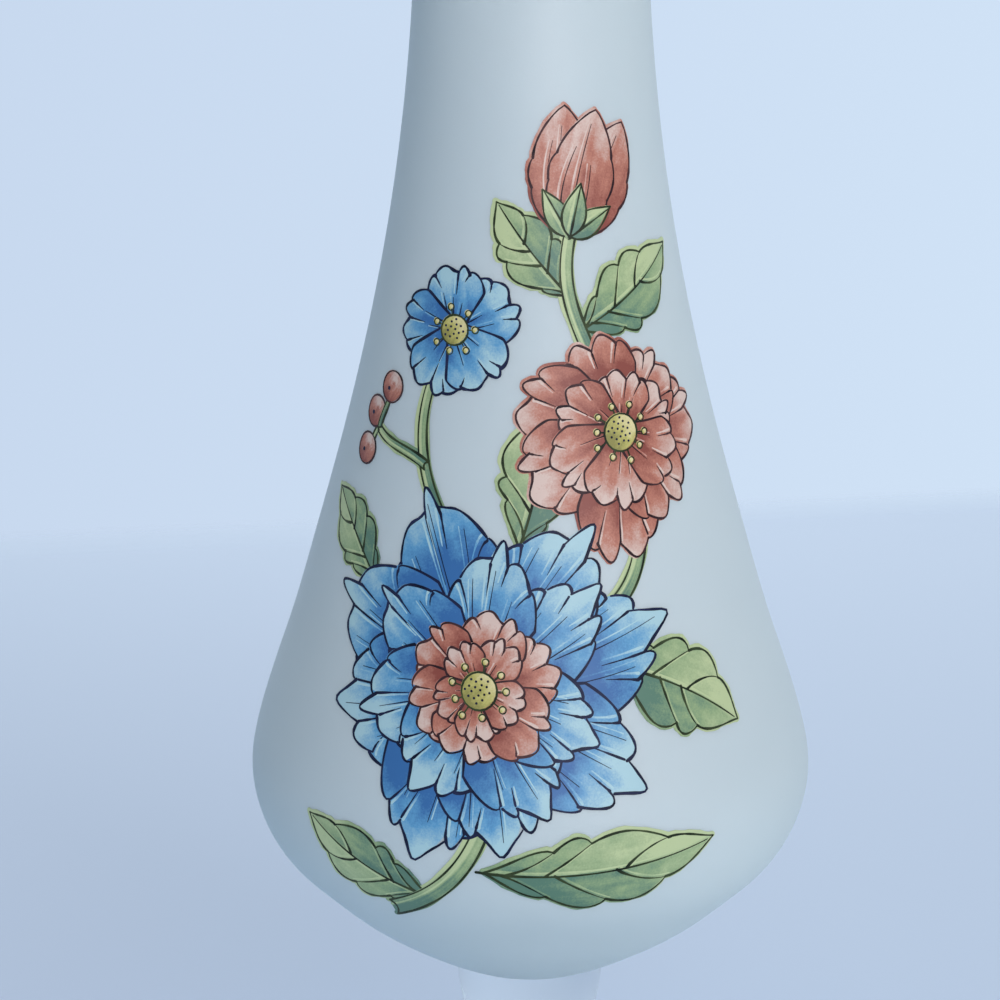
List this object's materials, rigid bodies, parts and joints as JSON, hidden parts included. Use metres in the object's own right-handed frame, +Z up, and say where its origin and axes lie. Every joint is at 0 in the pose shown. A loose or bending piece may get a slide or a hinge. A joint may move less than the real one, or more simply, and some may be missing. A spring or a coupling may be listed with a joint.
{
  "type": "bud vase",
  "caption": "Tall pear-shaped bud vase of satin opal glass with a floral enamel print, on a clear glass stem and foot.",
  "frame": {"origin": "centre of the foot's resting plane, on the vase's axis", "axes": "+Z up along the vase's axis, -Y towards the printed front"},
  "size_m": [0.0726, 0.0728, 0.2073],
  "materials": {
    "opal_glass": "satin",
    "clear_glass": "polished",
    "enamel_blue": "satin",
    "enamel_rust": "satin",
    "enamel_green": "satin"
  },
  "bodies": {
    "root": {"opal_vessel": "opal_glass", "clear_stem": "clear_glass", "clear_foot": "clear_glass", "print_blue_bloom_eye": "enamel_green", "print_blue_bloom_heart": "enamel_rust", "print_blue_bloom": "enamel_blue", "print_rust_bloom_eye": "enamel_green", "print_rust_bloom": "enamel_rust", "print_tulip_cup": "enamel_green", "print_tulip": "enamel_rust", "print_blossom_eye": "enamel_green", "print_blossom": "enamel_blue", "print_berry_1": "enamel_rust", "print_berry_2": "enamel_rust", "print_berry_3": "enamel_rust", "print_lower_stalk": "enamel_green", "print_middle_stalk": "enamel_green", "print_upper_stalk": "enamel_green", "print_side_stalk": "enamel_green", "print_low_left_leaf": "enamel_green", "print_low_right_leaf": "enamel_green", "print_right_leaf": "enamel_green", "print_left_leaf": "enamel_green", "print_middle_leaf": "enamel_green", "print_top_right_leaf": "enamel_green", "print_top_left_leaf": "enamel_green"}
  },
  "joints": []
}
